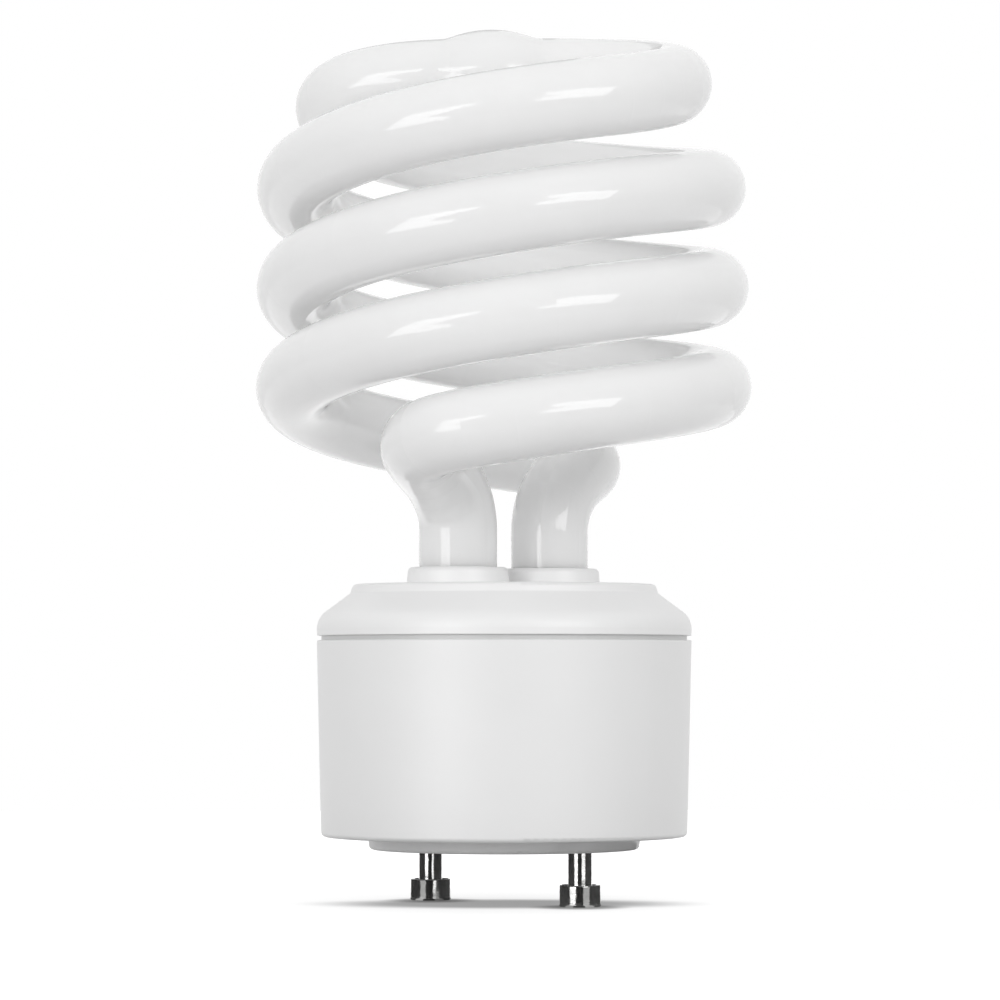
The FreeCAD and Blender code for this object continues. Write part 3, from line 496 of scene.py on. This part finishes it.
class LAMP_OT_ballast(bpy.types.Operator):
    """Dress the parts on the ballast board and their wires"""

    bl_idname = "lamp.ballast"
    bl_label = "Ballast Parts"

    def execute(self, context):
        finish = {
            name: mottled(name, *values, metallic=float(name in BARE_METAL))
            for name, values in MOTTLED.items()
        }
        dress(["circuit_board"], finish["board_laminate"])
        dress(["tube_cement_a", "tube_cement_b"], finish["cement"])
        dress(["filter_capacitor"], finish["black_sleeve"])
        dress(["choke_core", "drive_core", "line_choke_core"], finish["ferrite"])
        dress(["choke_bobbin"], finish["nylon"])
        dress(["choke_winding"], wound_wire("choke_wire", "X"))
        dress(["drive_windings", "line_choke_winding"], wound_wire("ring_wire", "Z"))
        dress(
            ["transistor_a", "transistor_b", *four("rectifier_diode")],
            finish["black_resin"])
        dress(["start_capacitor"], finish["green_resin"])
        dress(["blocking_capacitor"], finish["brown_resin"])
        dress(["snubber_capacitor", "diac"], finish["blue_resin"])
        dress(["fuse_resistor", *four("resistor")], finish["beige_lacquer"])
        dress([*four("wire_post"), *four("filament_lead")], finish["tinned"])
        dress(["supply_lead_a", "supply_lead_b"], finish["white_jacket"])
        return {"FINISHED"}


# Stage


def from_camera(stage, azimuth, elevation):
    """Direction from the lamp, by degrees to the right of the camera and above the horizon."""
    turn = stage.azimuth + math.radians(azimuth)
    rise = math.radians(elevation)
    return Vector((math.sin(turn) * math.cos(rise), -math.cos(turn) * math.cos(rise), math.sin(rise)))


def facing(direction):
    """Rotation that turns a light or a card to look along a direction."""
    return direction.to_track_quat("-Z", "Y").to_euler()


def softbox(stage, name, light, share):
    """Soft light at its place and size in degrees, as the lamp sees it."""
    azimuth, elevation, width, height = light
    direction = from_camera(stage, azimuth, elevation)
    bpy.ops.object.light_add(
        type="AREA", location=LAMP_CENTRE + direction * stage.light_distance,
        rotation=facing(-direction))
    lamp = bpy.context.object
    lamp.name = name
    lamp.data.shape = "RECTANGLE"
    lamp.data.size = 2 * stage.light_distance * math.tan(math.radians(width / 2))
    lamp.data.size_y = 2 * stage.light_distance * math.tan(math.radians(height / 2))
    lamp.data.energy = share * stage.light_level * lamp.data.size * lamp.data.size_y
    lamp.visible_camera = False
    lamp.visible_glossy = False


def gloss_only(piece, material):
    """Card of the stage that only gloss sees."""
    piece.data.materials.append(material)
    piece.visible_camera = False
    piece.visible_diffuse = False
    piece.visible_transmission = False
    piece.visible_shadow = False


def glowing(name, level):
    """Finish of a card that glows evenly by itself, with no lamp on it."""
    material, _, shader, _ = plain_finish(name)
    shader.inputs["Base Color"].default_value = (0, 0, 0, 1)
    shader.inputs["Emission Color"].default_value = (1, 1, 1, 1)
    shader.inputs["Emission Strength"].default_value = level
    return material


def softbox_face(stage, name, corners):
    """Bright face of a softbox as gloss shows it, by the azimuth and elevation of its corners."""
    bpy.ops.object.select_all(action="DESELECT")
    bpy.ops.mesh.primitive_circle_add(vertices=len(corners), fill_type="NGON")
    face = bpy.context.object
    face.name = name
    ways = [from_camera(stage, *corner) for corner in corners]
    middle = sum(ways, Vector()).normalized()
    for vertex, way in zip(face.data.vertices, ways):
        vertex.co = LAMP_CENTRE + way * stage.light_distance / way.dot(middle)
    gloss_only(face, glowing(name, stage.face_level))


def bent_card(stage, name, centre, turn, foot, top, material):
    """Card round an upright axis, between two azimuths from the camera in degrees.

    Its foot and its top are each a radius and a height.
    """
    bpy.ops.object.select_all(action="DESELECT")
    bpy.ops.mesh.primitive_grid_add(x_subdivisions=CARD_STEPS, y_subdivisions=1, size=1)
    card = bpy.context.object
    card.name = name
    for vertex in card.data.vertices:
        across = vertex.co.x + 0.5
        up = vertex.co.y + 0.5
        way = from_camera(stage, turn[0] + (turn[1] - turn[0]) * across, 0)
        radius = foot[0] + (top[0] - foot[0]) * up
        vertex.co = centre + way * radius + UP * (foot[1] + (top[1] - foot[1]) * up)
    gloss_only(card, material)


def pin_foot(pin):
    """Point of the floor under a pin's axis."""
    low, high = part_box(pin)
    centre = (Vector(low) + Vector(high)) / 2
    centre.z = 0
    return centre


def flags(stage):
    """Cards that draw the edges of the glass and the bands of the pins."""
    cloth = mottled("flag_cloth", stage.flag_colour, *CLOTH)
    dim_cloth = mottled("dim_cloth", stage.dim_colour, *CLOTH)
    # The grey cards glow by themselves; only gloss shows them, beside the pins and behind the lamp
    grey = glowing("grey_card", stage.grey_level)
    bent_card(
        stage, "flag_back", Vector(), BACK_TURN, (BACK_RADIUS, BACK_FOOT), (BACK_RADIUS, BACK_TOP),
        grey)
    for pin in PINS:
        centre = pin_foot(pin)
        inner = (CARD_GAP, CARD_GAP)
        foot = (PIN_FLAG_RADIUS, CARD_GAP)
        cards = {name: (turn, PIN_FLAG_HEIGHT, dim_cloth) for name, turn in PIN_FLAGS.items()}
        cards["near"] = (PIN_FLAGS["near"], PIN_FLAG_HEIGHT, cloth)
        cards["grey"] = (PIN_GREYS[pin], PIN_HEAD_HEIGHT, grey)
        for name, (turn, height, material) in cards.items():
            top = (PIN_FLAG_RADIUS, height)
            bent_card(stage, "flag_%s_%s" % (name, pin), centre, turn, foot, top, material)
            bent_card(stage, "flag_%s_foot_%s" % (name, pin), centre, turn, inner, foot, material)


def core_light(stage):
    """Light that the milky turns let through into the core of the coil, on the far turns."""
    away = from_camera(stage, 180, 0)
    bpy.ops.object.light_add(type="AREA", location=UP * CORE_HEIGHT, rotation=facing(away))
    lamp = bpy.context.object
    lamp.name = "core_light"
    lamp.data.shape = "RECTANGLE"
    lamp.data.size = CORE_WIDTH
    lamp.data.size_y = CORE_LENGTH
    lamp.data.energy = stage.core_power
    lamp.visible_camera = False
    lamp.visible_glossy = False


def seen_directly(tree):
    """Value of 1 for what the camera, gloss and glass see directly."""
    path = tree.nodes.new("ShaderNodeLightPath")
    total = path.outputs["Is Camera Ray"]
    for ray in ("Is Glossy Ray", "Is Transmission Ray"):
        larger = tree.nodes.new("ShaderNodeMath")
        larger.operation = "MAXIMUM"
        tree.links.new(total, larger.inputs[0])
        tree.links.new(path.outputs[ray], larger.inputs[1])
        total = larger.outputs["Value"]
    return total


def room(stage):
    """White room: white to look at, with a softer fill light than its white would give."""
    world = bpy.data.worlds.new("room")
    bpy.context.scene.world = world
    world.use_nodes = True
    tree = world.node_tree
    seen = tree.nodes["Background"]
    seen.inputs["Color"].default_value = (1, 1, 1, 1)
    fill = tree.nodes.new("ShaderNodeBackground")
    way = tree.nodes.new("ShaderNodeTexCoord")
    parts = tree.nodes.new("ShaderNodeSeparateXYZ")
    level = tree.nodes.new("ShaderNodeMapRange")
    level.inputs["From Min"].default_value = -1
    level.inputs["From Max"].default_value = 1
    level.inputs["To Min"].default_value = stage.fill_low
    level.inputs["To Max"].default_value = stage.fill_high
    tree.links.new(way.outputs["Generated"], parts.inputs["Vector"])
    tree.links.new(parts.outputs["Z"], level.inputs["Value"])
    tree.links.new(level.outputs["Result"], fill.inputs["Strength"])
    choice = tree.nodes.new("ShaderNodeMixShader")
    tree.links.new(seen_directly(tree), choice.inputs["Fac"])
    tree.links.new(fill.outputs["Background"], choice.inputs[1])
    tree.links.new(seen.outputs["Background"], choice.inputs[2])
    tree.links.new(choice.outputs["Shader"], tree.nodes["World Output"].inputs["Surface"])


def span(tree, place, near, far, low, high):
    """Value that moves between two levels from one radius to another."""
    radius = tree.nodes.new("ShaderNodeVectorMath")
    radius.operation = "LENGTH"
    tree.links.new(place, radius.inputs[0])
    reach = tree.nodes.new("ShaderNodeMapRange")
    reach.interpolation_type = "SMOOTHSTEP"
    reach.inputs["From Min"].default_value = near
    reach.inputs["From Max"].default_value = far
    reach.inputs["To Min"].default_value = low
    reach.inputs["To Max"].default_value = high
    tree.links.new(radius.outputs["Value"], reach.inputs["Value"])
    return reach.outputs["Result"]


def product(tree, first, second):
    """Two values multiplied."""
    node = tree.nodes.new("ShaderNodeMath")
    node.operation = "MULTIPLY"
    tree.links.new(first, node.inputs[0])
    tree.links.new(second, node.inputs[1])
    return node.outputs["Value"]


def pale_floor(stage):
    """Round pale floor with the lamp's cast shadow, and painted shadow under the lamp and round each
    pin's foot.
    """
    bpy.ops.object.select_all(action="DESELECT")
    bpy.ops.mesh.primitive_circle_add(
        vertices=FLOOR_CORNERS, radius=stage.floor_radius, fill_type="NGON")
    floor = bpy.context.object
    floor.name = "floor"
    material, tree, shader, place = plain_finish("pale_floor")
    shader.inputs["Roughness"].default_value = 0.9
    shader.inputs["Specular IOR Level"].default_value = 0.0
    shader.inputs["Emission Color"].default_value = (1, 1, 1, 1)
    # Painted shade: the floor's colour is darker under the lamp
    far = span(tree, place, SHADE_NEAR, SHADE_FAR, 0, 1)
    tint(tree, shader, far, stage.shade_colour, stage.floor_colour)
    # Painted shadow: the glow that whitens the floor is lowest in a slim ellipse under the lamp
    turned = tree.nodes.new("ShaderNodeMapping")
    turned.inputs["Rotation"].default_value = (0, 0, -stage.azimuth)
    tree.links.new(place, turned.inputs["Vector"])
    slim = tree.nodes.new("ShaderNodeMapping")
    slim.inputs["Scale"].default_value = (1, stage.shade_slim, 1)
    tree.links.new(turned.outputs["Vector"], slim.inputs["Vector"])
    glow = span(
        tree, slim.outputs["Vector"], stage.shade_radius, stage.glow_radius,
        stage.shade_lift, stage.floor_lift)
    # Painted contact shadow: the glow drops round each pin's foot
    for pin in PINS:
        moved = tree.nodes.new("ShaderNodeMapping")
        moved.inputs["Location"].default_value = -pin_foot(pin)
        tree.links.new(place, moved.inputs["Vector"])
        contact = span(
            tree, moved.outputs["Vector"], PIN_HEAD_RADIUS, stage.contact_radius,
            stage.contact_lift, 1)
        glow = product(tree, glow, contact)
    lift = product(tree, seen_directly(tree), glow)
    tree.links.new(lift, shader.inputs["Emission Strength"])
    floor.data.materials.append(material)


def camera(stage):
    """Camera at the height and the distance of the view, aimed beside the lamp's axis."""
    direction = from_camera(stage, 0, 0)
    right = from_camera(stage, 90, 0)
    eye = direction * stage.distance + UP * stage.height
    aim = right * stage.aim_side + UP * stage.aim_height
    bpy.ops.object.camera_add(location=eye, rotation=facing(aim - eye))
    view = bpy.context.object
    view.data.lens = stage.lens
    view.data.sensor_width = SENSOR
    bpy.context.scene.camera = view


class LAMP_OT_stage(bpy.types.Operator):
    """Set the floor, the lights, the flags and the camera"""

    bl_idname = "lamp.stage"
    bl_label = "Stage"

    def execute(self, context):
        stage = context.scene.lamp_stage
        context.scene.view_settings.view_transform = "Standard"
        room(stage)
        softbox(stage, "left_softbox", LEFT_LIGHT, LEFT_SHARE)
        softbox(stage, "right_softbox", RIGHT_LIGHT, RIGHT_SHARE)
        softbox(stage, "front_softbox", FRONT_LIGHT, stage.front_share)
        softbox_face(stage, "left_face", LEFT_FACE)
        softbox_face(stage, "right_face", RIGHT_FACE)
        core_light(stage)
        flags(stage)
        pale_floor(stage)
        camera(stage)
        return {"FINISHED"}


class LAMP_PT_studio(bpy.types.Panel):
    """Steps that finish the lamp and set its studio"""

    bl_label = "Spiral Lamp"
    bl_space_type = "VIEW_3D"
    bl_region_type = "UI"
    bl_category = "Lamp"

    def draw(self, context):
        for step in STEPS:
            self.layout.operator(step.bl_idname)
        for group in SETTINGS:
            settings = getattr(context.scene, group)
            for name in settings.bl_rna.properties.keys():
                if name not in ("rna_type", "name"):
                    self.layout.prop(settings, name)


SETTINGS = {
    "lamp_glass": LampGlass,
    "lamp_plastic": LampPlastic,
    "lamp_plating": LampPlating,
    "lamp_stage": LampStage,
}
STEPS = (LAMP_OT_glass, LAMP_OT_mouldings, LAMP_OT_pins, LAMP_OT_ballast, LAMP_OT_stage)


def register():
    """Registers the classes and gives the scene their settings."""
    for kind in (*SETTINGS.values(), *STEPS, LAMP_PT_studio):
        bpy.utils.register_class(kind)
    for name, kind in SETTINGS.items():
        setattr(bpy.types.Scene, name, bpy.props.PointerProperty(type=kind))


def unregister():
    """Takes the settings and the classes away again."""
    for name in SETTINGS:
        delattr(bpy.types.Scene, name)
    for kind in reversed((*SETTINGS.values(), *STEPS, LAMP_PT_studio)):
        bpy.utils.unregister_class(kind)


def main():
    """Runs every step in order."""
    register()
    bpy.ops.lamp.glass()
    bpy.ops.lamp.mouldings()
    bpy.ops.lamp.pins()
    bpy.ops.lamp.ballast()
    bpy.ops.lamp.stage()


if __name__ == "__main__":
    main()
